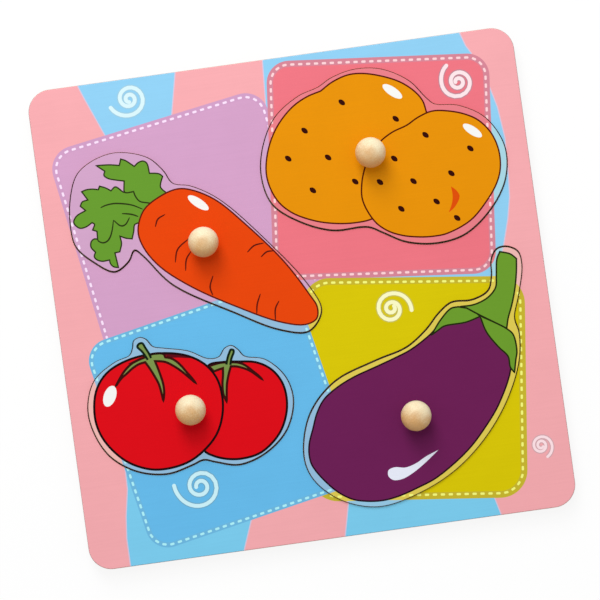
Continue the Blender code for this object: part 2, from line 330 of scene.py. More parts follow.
TOMATO_BIG_STEM = [
    (-73.7, -18.3), (-74.6, -16.3), (-75.9, -14.0), (-77.6, -11.7), (-76.7, -10.5), (-75.2, -10.4),
    (-74.0, -12.8), (-72.8, -15.4), (-72.1, -17.7),
]
TOMATO_BIG_SHADES = [
    [(-83.0, -18.9), (-80.0, -17.8), (-76.5, -16.8), (-77.0, -17.6), (-80.0, -18.7)],
    [
        (-65.6, -16.8), (-60.0, -17.3), (-56.0, -18.7), (-53.5, -20.2), (-56.0, -19.9), (-59.0, -19.3),
        (-64.0, -18.4),
    ],
]
TOMATO_SMALL_TOP = [
    [(-36.9, -24.5), (-41.0, -24.2)],
    [(-46.4, -25.0)],
    [(-44.4, -27.7), (-42.2, -27.2)],
    [(-40.1, -26.8), (-40.5, -30.0), (-41.3, -34.0), (-41.5, -38.5)],
    [(-40.5, -42.5), (-39.9, -38.0), (-39.2, -34.0), (-37.9, -30.0)],
    [(-36.4, -26.5), (-33.8, -26.9), (-31.0, -28.0), (-28.0, -29.7), (-25.4, -32.0)],
    [(-22.8, -34.6), (-24.5, -32.3), (-26.7, -30.0), (-28.6, -28.0), (-30.5, -26.4), (-33.0, -25.2)],
]
TOMATO_SMALL_STEM = [
    (-38.3, -25.4), (-37.4, -22.6), (-36.2, -20.1), (-35.3, -18.9), (-34.2, -19.3), (-34.3, -20.5),
    (-35.1, -21.9), (-35.9, -23.6), (-36.5, -25.8),
]

EGGPLANT_BODY = [
    (56.3, -24.5), (46.3, -30.3), (39.7, -32.7), (29.7, -35.8), (18.8, -39.1), (10.5, -42.8),
    (3.8, -47.4), (-0.3, -53.3), (-2.9, -59.6), (-5.7, -66.7), (-6.4, -72.4), (-5.4, -77.4),
    (2.9, -88.9), (10.0, -94.2), (15.7, -96.0), (23.6, -96.9), (31.4, -96.0), (41.4, -93.1),
    (50.0, -89.9), (65.7, -79.6), (75.7, -69.6), (83.0, -60.3), (90.5, -45.3), (90.8, -38.0),
    (87.0, -28.0), (80.0, -17.5), (70.0, -16.5), (62.0, -19.6),
]
EGGPLANT_LEFT_LEAF = [
    [(56.6, -25.0), (60.0, -23.2), (63.0, -21.7), (73.0, -21.3)],
    [(79.9, -19.6), (78.0, -17.3), (74.3, -14.9)],
    [(70.5, -13.8), (67.2, -14.1), (62.0, -18.4)],
]
EGGPLANT_NECK = [
    [(74.3, -14.9), (80.1, -19.1), (86.3, -23.3)],
    [(91.2, -26.8), (92.6, -22.0), (95.1, -16.2), (97.6, -8.7), (99.3, -1.2)],
    [(100.1, 4.4), (97.6, 6.9)],
    [(93.0, 8.6), (91.2, 5.4), (89.9, -2.0), (88.8, -7.4), (84.7, -11.4), (78.0, -13.8)],
    [(70.5, -13.8)],
]
EGGPLANT_RIGHT_LEAF = [
    [(79.9, -19.3), (86.3, -23.3), (91.2, -26.8), (93.8, -29.9), (94.4, -37.8), (93.4, -41.4)],
    [(92.0, -47.2), (90.4, -44.5), (90.1, -39.5), (86.3, -34.5), (81.8, -27.0)],
]
EGGPLANT_SHINE = [
    [
        (52.5, -77.5), (46.6, -79.6), (41.4, -82.2), (36.4, -83.4), (31.6, -82.6), (28.6, -83.6),
        (28.2, -86.2), (30.2, -88.3), (34.3, -88.4), (39.0, -86.6), (45.0, -83.0),
    ],
]

# Breadth of the line round each ink, which is drawn in the ink's own line colour
OUTLINE_WIDTH = {
    "carrot": 0.7, "leaf": 0.65, "potato": 0.7, "tomato": 1.05, "sepal": 1.1, "eggplant": 0.75,
    "calyx": 0.75, "sky": 0.5, "sky_low": 0.5,
}
CREASE_WIDTH = 0.72

# Least cosine that a mitre counts with, breadth of a tapered line's ends and of a seed near its points
MITRE_LIMIT = 0.6
TAPERED_END = 0.5
SEED_WAIST = 0.75

# Half the length and half the breadth of a potato's eye, and its tilt in degrees
EYE_SIZE = (1.8, 1.15)
EYE_TILT = -46.0

# Each white mark's middle, half its length and breadth, and its tilt in degrees
SHINES = {
    "carrot": [((-40.9, 49.9), (5.6, 2.0), -41.0)],
    "potatoes": [((54.4, 88.3), (5.3, 2.0), -42.0), ((88.3, 65.4), (5.1, 1.9), -41.0)],
    "tomatoes": [((-93.2, -32.4), (5.0, 2.8), 63.0)],
}

# Which way the side of a knob with painted shade lies, away from the lamps, and how much that varies
PAINTED_SHADE_TURN = math.radians(-18.0)
PAINTED_SHADE_SWING = math.radians(7.0)

# Where in a log the first knob's wood lies, and the steps from knob to knob
LOG_PLACE = (0.016, 0.008, 0.0)
LOG_STEP = (0.003, -0.006, 0.05)
LOG_TURN = 1.3

# The groove round a knob's neck, and the angle from which its edges are sharp
GROOVE = 0.00018
SHARP_ANGLE = math.radians(40.0)

# How much of the floor glows where it is seen, how brightly, and its colour under the lamps
FLOOR_SEEN = 0.86
FLOOR_GLOW = 1.02
FLOOR_PAINT = (0.9, 0.9, 0.9, 1.0)


def linear_light(screen):
    """A screen colour from 0 to 255 as linear light."""
    values = []
    for value in screen:
        value = value / 255
        values.append(value / 12.92 if value <= 0.04045 else ((value + 0.055) / 1.055) ** 2.4)
    return tuple(values)


def colour_settings(colours, use):
    """One colour setting for each named colour."""
    made = {}
    for name, screen in colours.items():
        label = name.replace("_", " ").capitalize()
        made[name] = FloatVectorProperty(
            name=label,
            description="%s of the %s" % (label, use),
            subtype="COLOR",
            size=3,
            min=0.0,
            max=1.0,
            default=linear_light(screen),
        )
    return made


class PuzzleInks(bpy.types.PropertyGroup):
    """Colours of the printed picture"""
    __annotations__ = colour_settings(INKS, "printed picture")


class PuzzleWoods(bpy.types.PropertyGroup):
    """Colours of the bare wood and the screws"""
    __annotations__ = colour_settings(WOODS, "bare materials")


def length_setting(name, description, metres):
    """A length that a user can set."""
    return FloatProperty(name=name, description=description, default=metres, unit="LENGTH")


def angle_setting(name, description, degrees):
    """An angle that a user can set."""
    return FloatProperty(name=name, description=description, default=math.radians(degrees), subtype="ANGLE")


def number_setting(name, description, number):
    """A plain number that a user can set."""
    return FloatProperty(name=name, description=description, default=number)


def count_setting(name, description, count):
    """A whole number that a user can set."""
    return IntProperty(name=name, description=description, default=count)


class PuzzleSizes(bpy.types.PropertyGroup):
    """Sizes of the boards, the print and the knobs"""
    corner_radius: length_setting("Corner radius", "Radius of the board's corners", 0.0105)
    rim_radius: length_setting("Rim radius", "Rounding of the frame's outer top edge", 0.00045)
    cut_rim: length_setting("Cut rim", "Rounding of the pieces' and openings' top edges", 0.0002)
    base_rim: length_setting("Base rim", "Easing of the boards' lower edges", 0.0002)
    backing_rim: length_setting("Backing rim", "Rounding of the backing's edges", 0.00025)
    kerf_trim: length_setting("Kerf trim", "How much closer the printed openings fit", 0.00012)
    stem_room: length_setting("Stem room", "Shift of the eggplant's opening towards its stem", 0.00055)
    frame_plies: count_setting("Frame plies", "Veneers in the frame", 5)
    piece_plies: count_setting("Piece plies", "Veneers in a piece", 5)
    backing_plies: count_setting("Backing plies", "Veneers in the backing", 3)
    bore_radius: length_setting("Bore radius", "Radius of a piece's screw hole", 0.00155)
    countersink_radius: length_setting("Countersink radius", "Radius of the hole for a screw's head", 0.0029)
    countersink_depth: length_setting("Countersink depth", "Height of the countersink's cone", 0.0014)
    countersink_inset: length_setting("Countersink inset", "How far the screw's head is sunk", 0.0003)
    stitch_length: length_setting("Stitch length", "Length of a printed stitch", 0.002)
    stitch_width: length_setting("Stitch width", "Breadth of a printed stitch", 0.00105)
    stitch_pitch: length_setting("Stitch pitch", "Distance from stitch to stitch", 0.00364)
    knob_foot_radius: length_setting("Knob foot radius", "Radius of a knob's foot", 0.0042)
    knob_flat_radius: length_setting("Knob flat radius", "Radius of the flat on a knob's top", 0.0013)
    knob_hole_radius: length_setting("Knob hole radius", "Radius of a knob's pilot hole", 0.00155)
    knob_hole_depth: length_setting("Knob hole depth", "Depth of a knob's pilot hole", 0.0058)
    knob_segments: count_setting("Knob segments", "Sides of a turned knob", 64)


class PuzzleStage(bpy.types.PropertyGroup):
    """Camera, lights and floor"""
    elevation: angle_setting("Elevation", "Camera's height angle", 88.5)
    roll: angle_setting("Roll", "Camera's turn about its own axis", -7.93)
    distance: length_setting("Distance", "From camera to board", 2.0)
    lens: number_setting("Lens", "Focal length in millimetres", 261.6)
    aim: FloatVectorProperty(
        name="Aim", description="Point the camera looks at", size=3, default=(-0.0008, -0.0007, 0.0083),
        unit="LENGTH",
    )
    lamp_distance: length_setting("Lamp distance", "From the lamps to the board", 1.5)
    lamp_turn: angle_setting("Lamp turn", "Lamps' turn from the board's top", 10.0)
    high_power: number_setting("High power", "Power of the high lamp in watts", 6.6)
    high_size: length_setting("High size", "Side of the high lamp", 0.8)
    high_elevation: angle_setting("High elevation", "High lamp's height angle", 65.0)
    low_power: number_setting("Low power", "Power of the low lamp in watts", 9.3)
    low_size: length_setting("Low size", "Side of the low lamp", 0.65)
    low_elevation: angle_setting("Low elevation", "Low lamp's height angle", 40.0)
    sky_strength: number_setting("Sky strength", "Light from all round", 0.49)
    floor_size: length_setting("Floor size", "Side of the floor", 6.0)
    floor_gap: length_setting("Floor gap", "How far the floor lies under the board", 0.00005)


def smooth_line(points, closed=True):
    """A centripetal Catmull-Rom curve through points, as a list of points."""
    knots = [Vector(point) for point in points]
    if closed:
        knots = [knots[-1]] + knots + knots[:2]
    else:
        knots = [2 * knots[0] - knots[1]] + knots + [2 * knots[-1] - knots[-2]]
    line = []
    for before, start, end, after in zip(knots, knots[1:], knots[2:], knots[3:]):
        first = math.sqrt((start - before).length)
        second = first + math.sqrt((end - start).length)
        third = second + math.sqrt((after - end).length)
        for step in range(CURVE_STEPS):
            at = first + (second - first) * step / CURVE_STEPS
            low = before.lerp(start, at / first)
            middle = start.lerp(end, (at - first) / (second - first))
            high = end.lerp(after, (at - second) / (third - second))
            left = low.lerp(middle, at / second)
            right = middle.lerp(high, (at - first) / (third - first))
            line.append(left.lerp(right, (at - first) / (second - first)))
    if not closed:
        line.append(knots[-2])
    return line


def cornered_loop(runs):
    """A closed outline of smooth runs that meet at sharp corners, each ending where the next one starts."""
    loop = []
    for run, following in zip(runs, runs[1:] + runs[:1]):
        loop.extend(smooth_line(run + following[:1], closed=False)[:-1])
    return loop


def signed_area(loop):
    """Twice the area of a flat loop, positive where it runs anticlockwise."""
    return sum(a.x * b.y - b.x * a.y for a, b in zip(loop, loop[1:] + loop[:1]))


def anticlockwise(loop):
    """The loop, turned round if it runs clockwise."""
    return loop if signed_area(loop) > 0 else loop[::-1]


def middle_of(loop):
    """The mean of a flat loop's points."""
    return sum(loop, Vector((0.0, 0.0))) / len(loop)


def shifted_loop(loop, outward):
    """An anticlockwise loop moved outward along its own normals."""
    moved = []
    for index, point in enumerate(loop):
        tangent = (loop[(index + 1) % len(loop)] - loop[index - 1]).normalized()
        moved.append(point + Vector((tangent.y, -tangent.x)) * outward)
    return moved


def rounded_loop(corners, radius, steps):
    """A straight-sided loop with an arc at each corner."""
    corners = [Vector(corner) for corner in corners]
    loop = []
    for index, corner in enumerate(corners):
        back = (corners[index - 1] - corner).normalized()
        on = (corners[(index + 1) % len(corners)] - corner).normalized()
        half = back.angle(on) / 2
        centre = corner + (back + on).normalized() * radius / math.sin(half)
        start = corner + back * radius / math.tan(half) - centre
        sweep = math.pi - 2 * half
        for step in range(steps + 1):
            loop.append(centre + Matrix.Rotation(sweep * step / steps, 2) @ start)
    return loop


def ribbon(line, width, closed=False, taper=False):
    """The four-cornered links of a drawn line, mitred where they meet."""
    count = len(line)
    sides = []
    for index, point in enumerate(line):
        before = line[index - 1] if closed or index > 0 else None
        after = line[(index + 1) % count] if closed or index < count - 1 else None
        back = (point - before).normalized() if before else (after - point).normalized()
        on = (after - point).normalized() if after else back
        along = (back + on).normalized()
        across = Vector((-along.y, along.x))
        half = width / 2 / max(along.dot(on), MITRE_LIMIT)
        if taper:
            fullness = math.sqrt(math.sin(math.pi * index / (count - 1)))
            half *= TAPERED_END + (1 - TAPERED_END) * fullness
        sides.append((point + across * half, point - across * half))
    pairs = list(zip(sides, sides[1:]))
    if closed:
        pairs.append((sides[-1], sides[0]))
    links = []
    for pair in pairs:
        corners = [Vector(corner) for end in pair for corner in end]
        links.append([corners[index] for index in geometry.convex_hull_2d(corners)])
    return links


def oval(centre, radii, tilt):
    """An ellipse as a loop of points."""
    turn = Matrix.Rotation(math.radians(tilt), 2)
    loop = []
    for step in range(OVAL_STEPS):
        angle = 2 * math.pi * step / OVAL_STEPS
        loop.append(Vector(centre) + turn @ Vector((radii[0] * math.cos(angle), radii[1] * math.sin(angle))))
    return loop


def seed(centre, radii, tilt):
    """A seed shape, pointed at both ends."""
    turn = Matrix.Rotation(math.radians(tilt), 2)
    loop = []
    for step in range(OVAL_STEPS // 2):
        angle = 4 * math.pi * step / OVAL_STEPS
        fullness = SEED_WAIST + (1 - SEED_WAIST) * abs(math.sin(angle))
        along = radii[0] * math.cos(angle)
        loop.append(Vector(centre) + turn @ Vector((along, radii[1] * math.sin(angle) * fullness)))
    return loop


def stitches(loop, sizes):
    """Short bars along a closed line."""
    length = sizes.stitch_length / MM / 2
    width = sizes.stitch_width / MM / 2
    nick = width / 2
    corners = [
        (length, width - nick), (length - nick, width), (nick - length, width), (-length, width - nick),
        (-length, nick - width), (nick - length, -width), (length - nick, -width), (length, nick - width),
    ]
    around = sum((b - a).length for a, b in zip(loop, loop[1:] + loop[:1]))
    count = round(around / (sizes.stitch_pitch / MM))
    pitch = around / count
    bars = []
    travelled = 0.0
    for start, end in zip(loop, loop[1:] + loop[:1]):
        span = (end - start).length
        while len(bars) < count and (len(bars) + 0.5) * pitch <= travelled + span:
            along = (end - start).normalized()
            middle = start + along * ((len(bars) + 0.5) * pitch - travelled)
            across = Vector((-along.y, along.x))
            bars.append([middle + along * x + across * y for x, y in corners])
        travelled += span
    return bars


def spiral_line(centre, knots):
    """A spiral from its angles and radii."""
    polar = smooth_line([(angle / SPIRAL_TURN, radius) for angle, radius in knots], closed=False)
    line = []
    for turn, radius in polar:
        angle = math.radians(turn * SPIRAL_TURN)
        line.append(Vector(centre) + Vector((math.cos(angle), math.sin(angle))) * radius)
    return line


def ground_shapes(sizes):
    """The pink ground, the stripes and the stitched patches, lowest first, as (ink, loop)."""
    shapes = [("pink", [Vector(corner) for corner in EVERYWHERE])]
    for ink, stripe in SKY_STRIPES:
        shapes += outlined(ink, [Vector(point) for point in stripe])
    for name, corners in PATCHES.items():
        seam = rounded_loop(corners, PATCH_RADIUS[name], CORNER_STEPS // 2)
        shapes.append((name + "_hem", shifted_loop(seam, PATCH_HEM[name])))
        shapes.append((name, shifted_loop(seam, -sizes.stitch_width / MM)))
        shapes.extend((name + "_stitch", bar) for bar in stitches(seam, sizes))
    return shapes


def margin_shapes(ground):
    """The ground as it is printed round a vegetable, in paler inks and without hems."""
    shapes = []
    for ink, loop in ground:
        margin = ink.replace("_hem", "") + "_margin"
        shapes.append((margin if margin in INKS else ink, loop))
    return shapes


def spiral_shapes():
    """The five spirals with round ends, each with a soft dark line round it."""
    shapes = []
    for centre, width, ground, knots in SPIRALS:
        line = spiral_line(centre, knots)
        radii = (width / 2, width / 2)
        shapes.extend((ground + "_halo", link) for link in ribbon(line, width + HALO))
        shapes.extend((ground + "_spiral", link) for link in ribbon(line, width))
        shapes.extend((ground + "_spiral", oval(end, radii, 0.0)) for end in (line[0], line[-1]))
    return shapes


def outline_of(ink, loop):
    """The line drawn round a shape."""
    return [(ink + "_line", link) for link in ribbon(loop, OUTLINE_WIDTH[ink], closed=True)]


def outlined(ink, loop):
    """A filled shape with a drawn outline."""
    return [(ink, loop)] + outline_of(ink, loop)


def drawn_lines(ink, lines, width=CREASE_WIDTH, taper=True):
    """Separate drawn lines."""
    shapes = []
    for points in lines:
        shapes.extend((ink, link) for link in ribbon(smooth_line(points, closed=False), width, taper=taper))
    return shapes


def carrot_shapes():
    """The carrot and its two leaves."""
    shapes = outlined("leaf", cornered_loop(CARROT_TOP_LEAF))
    shapes += outlined("leaf", cornered_loop(CARROT_MAIN_LEAF))
    shapes += drawn_lines("leaf_line", CARROT_VEINS)
    shapes += outlined("carrot", smooth_line(CARROT_BODY))
    return shapes + drawn_lines("carrot_line", CARROT_CREASES)


def potato_shapes():
    """Two potatoes with their eyes."""
    shapes = outlined("potato", cornered_loop(POTATO_BACK))
    shapes += outlined("potato", smooth_line(POTATO_FRONT))
    shapes += [("potato_eye", seed(centre, EYE_SIZE, EYE_TILT)) for centre in POTATO_EYES]
    return shapes + [("potato_shade", cornered_loop(POTATO_CRESCENT))]


def tomato_shapes():
    """Two tomatoes with their green tops."""
    shapes = []
    for body, top, stem, shades in (
        (TOMATO_SMALL, TOMATO_SMALL_TOP, TOMATO_SMALL_STEM, []),
        (TOMATO_BIG, TOMATO_BIG_TOP, TOMATO_BIG_STEM, TOMATO_BIG_SHADES),
    ):
        shapes.append(("tomato", smooth_line(body)))
        shapes += [("tomato_shade", smooth_line(points)) for points in shades]
        shapes += outlined("sepal", cornered_loop(top))
        shapes += outline_of("tomato", smooth_line(body))
        shapes.append(("sepal", smooth_line(stem)))
        shapes += drawn_lines("stem_line", [stem], OUTLINE_WIDTH["tomato"], taper=False)
    return shapes


def eggplant_shapes():
    """The eggplant with its green cap and stem."""
    shapes = outlined("eggplant", smooth_line(EGGPLANT_BODY))
    for runs in (EGGPLANT_LEFT_LEAF, EGGPLANT_NECK, EGGPLANT_RIGHT_LEAF):
        shapes += outlined("calyx", cornered_loop(runs))
    return shapes + [("cool_highlight", cornered_loop(EGGPLANT_SHINE))]


VEGETABLE_SHAPES = {
    "carrot": carrot_shapes,
    "potatoes": potato_shapes,
    "tomatoes": tomato_shapes,
    "eggplant": eggplant_shapes,
}


def shine_shapes(name):
    """The white marks on a vegetable."""
    return [("highlight", oval(*mark)) for mark in SHINES.get(name, [])]


def closed_chains(edges):
    """The closed outlines that edges form, each as its vertices in order."""
    left = dict.fromkeys(edges)
    chains = []
    while left:
        edge = left.popitem()[0]
        start, vert = edge.verts
        chain = [start]
        while vert != start:
            chain.append(vert)
            edge = next(other for other in vert.link_edges if other in left)
            del left[edge]
            vert = edge.other_vert(vert)
        chains.append(chain)
    return chains


def cad_outlines(node):
    """The outlines of a board's upright walls in millimetres, read from its CAD node, the widest first."""
    shape = bmesh.new()
    shape.from_mesh(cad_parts[node].data)
    bmesh.ops.remove_doubles(shape, verts=shape.verts, dist=WELD_DISTANCE)
    shape.normal_update()
    rims = []
    for edge in shape.edges:
        if len(edge.link_faces) == 2:
            low, high = sorted(face.normal.z for face in edge.link_faces)
            if abs(low) < WALL_TILT and WALL_TILT < high < RIM_TILT:
                rims.append(edge)
    loops = [anticlockwise([vert.co.xy / MM for vert in chain]) for chain in closed_chains(rims)]
    shape.free()
    return sorted(loops, key=signed_area, reverse=True)


def touching(shapes, outline):
    """The shapes whose boxes meet the box of an outline."""
    low = Vector((min(p.x for p in outline), min(p.y for p in outline)))
    high = Vector((max(p.x for p in outline), max(p.y for p in outline)))
    kept = []
    for ink, loop in shapes:
        across = min(p.x for p in loop) < high.x and max(p.x for p in loop) > low.x
        if across and min(p.y for p in loop) < high.y and max(p.y for p in loop) > low.y:
            kept.append((ink, loop))
    return kept


def partition(outline, holes, shapes, ground):
    """Cuts a flat face along all that is drawn on it. Gives its corners and its inked triangles."""
    corners = []
    faces = []
    for loop in [outline] + holes + [points for ink, points in shapes]:
        faces.append(list(range(len(corners), len(corners) + len(loop))))
        corners.extend(anticlockwise(loop))
    cut = geometry.delaunay_2d_cdt(corners, [], faces, INSIDE_TRIANGLES, DRAWING_WELD, True)
    first_shape = 1 + len(holes)
    inked = []
    for triangle, sources in zip(cut[2], cut[5]):
        if 0 not in sources or any(0 < number < first_shape for number in sources):
            continue
        top = max(sources)
        ink = shapes[top - first_shape][0] if top >= first_shape else ground
        inked.append((triangle, ink))
    return cut[0], inked


def inked_face(height, corners, inked):
    """A flat face at a height, with the colour of its ink on every triangle."""
    board = bmesh.new()
    ink = board.loops.layers.float_color.new("ink")
    verts = [board.verts.new((point.x * MM, point.y * MM, height)) for point in corners]
    for triangle, name in inked:
        face = board.faces.new([verts[index] for index in triangle])
        colour = Vector((*getattr(bpy.context.scene.puzzle_inks, name), 1.0))
        for loop in face.loops:
            loop[ink] = colour
    loose = [vert for vert in board.verts if not vert.link_faces]
    bmesh.ops.delete(board, geom=loose, context="VERTS")
    return board


def outward_at(vert):
    """The flat direction out of the material at a rim's vertex."""
    total = Vector((0.0, 0.0, 0.0))
    for edge in vert.link_edges:
        if edge.is_boundary:
            loop = edge.link_loops[0]
            along = (loop.link_loop_next.vert.co - loop.vert.co).normalized()
            total += Vector((along.y, -along.x, 0.0))
    return total.normalized()


def marked_rims(board):
    """Notes on each rim's vertices their place and the way out. Gives the outer edges and the inner ones."""
    start = board.verts.layers.float_vector.new("start")
    outward = board.verts.layers.float_vector.new("outward")
    rims = [edge for edge in board.edges if edge.is_boundary]
    chains = closed_chains(rims)
    for vert in {vert for chain in chains for vert in chain}:
        vert[start] = vert.co
        vert[outward] = outward_at(vert)
    outer = set(max(chains, key=lambda chain: abs(signed_area([vert.co for vert in chain]))))
    outer_edges = [edge for edge in rims if edge.verts[0] in outer]
    inner_edges = [edge for edge in rims if edge.verts[0] not in outer]
    return outer_edges, inner_edges


def rim_path(top, bottom, rim, base_rim):
    """The side of a board as (outward, height): a rounded rim, an upright wall and an eased foot."""
    path = []
    for step in range(1, RIM_STEPS + 1):
        angle = math.radians(90) * step / RIM_STEPS
        path.append((rim * math.sin(angle), top - rim * (1 - math.cos(angle))))
    path.append((rim, bottom + base_rim))
    path.append((rim - base_rim, bottom))
    return path


def countersunk_path(bottom, sizes):
    """The side of a countersunk bore as (outward, height)."""
    sunk = bottom + sizes.countersink_inset
    wider = sizes.bore_radius - sizes.countersink_radius
    return [(0.0, sunk + sizes.countersink_depth), (wider, sunk), (wider, bottom)]


def lower_rim(board, edges, path, printed_steps):
    """Draws a rim down along a path. Gives its lowest edges."""
    start = board.verts.layers.float_vector["start"]
    outward = board.verts.layers.float_vector["outward"]
    ink = board.loops.layers.float_color["ink"]
    for step, (out, height) in enumerate(path):
        old = {face for edge in edges for face in edge.link_faces}
        made = bmesh.ops.extrude_edge_only(board, edges=edges)["geom"]
        verts = {item for item in made if isinstance(item, bmesh.types.BMVert)}
        for vert in verts:
            vert.co = vert[start] + vert[outward] * out
            vert.co.z = height
        for face in (item for item in made if isinstance(item, bmesh.types.BMFace)):
            face.smooth = True
            face.material_index = 0 if step < printed_steps else 1
            for edge in face.edges:
                for other in edge.link_faces:
                    if other in old:
                        colour = other.loops[0][ink].copy()
                        for loop in face.loops:
                            loop[ink] = colour
        edges = [
            item for item in made
            if isinstance(item, bmesh.types.BMEdge) and item.is_boundary and set(item.verts) <= verts
        ]
    return edges


def fill_underside(board, edges):
    """Closes a board from below."""
    filled = bmesh.ops.triangle_fill(board, use_beauty=True, edges=edges, normal=(0.0, 0.0, -1.0))["geom"]
    for item in filled:
        if isinstance(item, bmesh.types.BMFace):
            item.material_index = 2
    bmesh.ops.recalc_face_normals(board, faces=board.faces)


def mark_plies(board, bottom, top, plies):
    """Notes the ply that each vertex lies in, and how far its wall faces sideways."""
    ply = board.verts.layers.float.new("ply")
    sideways = board.verts.layers.float.new("sideways")
    outward = board.verts.layers.float_vector["outward"]
    for vert in board.verts:
        vert[ply] = plies * (vert.co.z - bottom) / (top - bottom)
        vert[sideways] = abs(vert[outward].x)
    for name in ("start", "outward"):
        board.verts.layers.float_vector.remove(board.verts.layers.float_vector[name])


def split_inks(board):
    """Splits the printed faces where two inks meet, so that each border stays sharp."""
    ink = board.loops.layers.float_color["ink"]
    borders = []
    for edge in board.edges:
        if len(edge.link_faces) == 2:
            one, other = edge.link_faces
            change = (one.loops[0][ink] - other.loops[0][ink]).length
            if one.material_index == other.material_index == 0 and change > SAME_INK:
                borders.append(edge)
    bmesh.ops.split_edges(board, edges=borders)


def printed_board(name, outline, holes, shapes, heights, plies, rim, bore=None):
    """A plywood board with a picture on its top, as one closed mesh split at the borders of its inks."""
    sizes = bpy.context.scene.puzzle_sizes
    bottom, top = heights
    outline = shifted_loop(outline, -rim / MM)
    holes = [shifted_loop(hole, sizes.cut_rim / MM) for hole in holes]
    inner_path = rim_path(top, bottom, sizes.cut_rim, sizes.cut_rim / 2)
    inner_printed = PRINTED_STEPS
    if bore:
        radius = sizes.bore_radius / MM
        holes.append(oval(bore, (radius, radius), 0.0))
        inner_path = countersunk_path(bottom, sizes)
        inner_printed = 0
    corners, inked = partition(outline, holes, touching(shapes, outline), shapes[0][0])
    board = inked_face(top, corners, inked)
    outer, inner = marked_rims(board)
    ends = lower_rim(board, inner, inner_path, inner_printed)
    ends += lower_rim(board, outer, rim_path(top, bottom, rim, sizes.base_rim), PRINTED_STEPS)
    fill_underside(board, ends)
    mark_plies(board, bottom, top, plies)
    split_inks(board)
    return finished(name, board, ["printed_lacquer", "ply_edge", "bare_veneer"])


def finished(name, shape, materials):
    """Makes an object of a bmesh, at the origin, with its materials."""
    mesh = bpy.data.meshes.new(name)
    shape.to_mesh(mesh)
    shape.free()
    for material in materials:
        mesh.materials.append(shared_material(material))
    piece = bpy.data.objects.new(name, mesh)
    bpy.context.scene.collection.objects.link(piece)
    return piece


def place(piece, body, slot, *nodes):
    """Puts a piece on the body it rides on and hides the CAD nodes it stands for. The slot, the finish it
    takes, is not used.
    """
    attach(piece, body)
    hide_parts(*nodes)


class NodeTree:
    """A short way to write the nodes of a material or a world."""

    def __init__(self, holder, output):
        holder.use_nodes = True
        self.holder = holder
        self.tree = holder.node_tree
        self.tree.nodes.clear()
        self.output = self.add(output)

    def add(self, kind, inputs=(), **settings):
        """Adds a node, sets its settings and fills its inputs with values or with other nodes' outputs."""
        node = self.tree.nodes.new("ShaderNode" + kind)
        for setting, value in settings.items():
            setattr(node, setting, value)
        for key, value in dict(inputs).items():
            self.put(node.inputs[key], value)
        return node

    def put(self, socket, value):
        """Links a socket or sets its value."""
        if isinstance(value, bpy.types.NodeSocket):
            self.tree.links.new(value, socket)
        else:
            socket.default_value = value

    def spot(self):
        """The place on the piece, in metres."""
        return self.add("TexCoord").outputs["Object"]

    def attribute(self, name, output):
        """A value or a vector that the mesh holds under a name."""
        return self.add("Attribute", attribute_name=name, attribute_type="GEOMETRY").outputs[output]

    def noise(self, vector, scale, detail=3.0, roughness=0.5, distortion=0.0):
        """Noise from 0 to 1, with its scale along each axis."""
        stretched = self.add("Mapping", {"Vector": vector, "Scale": scale}).outputs["Vector"]
        values = {"Scale": 1.0, "Detail": detail, "Roughness": roughness, "Distortion": distortion}
        return self.add("TexNoise", {"Vector": stretched, **values}).outputs["Fac"]

    def math(self, operation, *values):
        """One sum."""
        return self.add("Math", dict(enumerate(values)), operation=operation).outputs[0]

    def between(self, value, low, high, new_low=0.0, new_high=1.0):
        """A value moved smoothly from one range to another."""
        inputs = {"Value": value, "From Min": low, "From Max": high, "To Min": new_low, "To Max": new_high}
        return self.add("MapRange", inputs, interpolation_type="SMOOTHSTEP").outputs["Result"]

    def mix(self, share, first, second):
        """Two colours mixed by a share."""
        return self.add("Mix", {0: share, 6: first, 7: second}, data_type="RGBA").outputs[2]

    def scaled(self, colour, factor):
        """A colour made lighter or darker."""
        if not isinstance(colour, bpy.types.NodeSocket):
            colour = colour[:3]
        return self.add("VectorMath", {0: colour, "Scale": factor}, operation="SCALE").outputs[0]

    def around(self, vector):
        """How far a place lies from the upright axis, and how high."""
        parts = self.add("SeparateXYZ", {"Vector": vector}).outputs
        flat = self.add("CombineXYZ", {"X": parts["X"], "Y": parts["Y"], "Z": 0.0}).outputs["Vector"]
        return self.add("VectorMath", {0: flat}, operation="LENGTH").outputs["Value"], parts["Z"]

    def bump(self, height, distance, strength):
        """Relief on the surface, as a normal."""
        inputs = {"Height": height, "Distance": distance, "Strength": strength}
        return self.add("Bump", inputs).outputs["Normal"]

    def shaded(self, colour, roughness, normal, **constants):
        """Ends a material with the usual shader. Gives the material."""
        shader = self.add("BsdfPrincipled", {"Base Color": colour, "Roughness": roughness, "Normal": normal})
        for name, value in constants.items():
            shader.inputs[name.replace("_", " ")].default_value = value
        return self.ended(shader.outputs["BSDF"])

    def ended(self, shader):
        """Joins a shader to the output. Gives the material or world."""
        self.put(self.output.inputs["Surface"], shader)
        return self.holder


def new_material(name):
    """The nodes of a new material."""
    return NodeTree(bpy.data.materials.new(name), "OutputMaterial")


def wood_colour(name):
    """A named wood colour with its alpha."""
    return (*getattr(bpy.context.scene.puzzle_woods, name), 1.0)


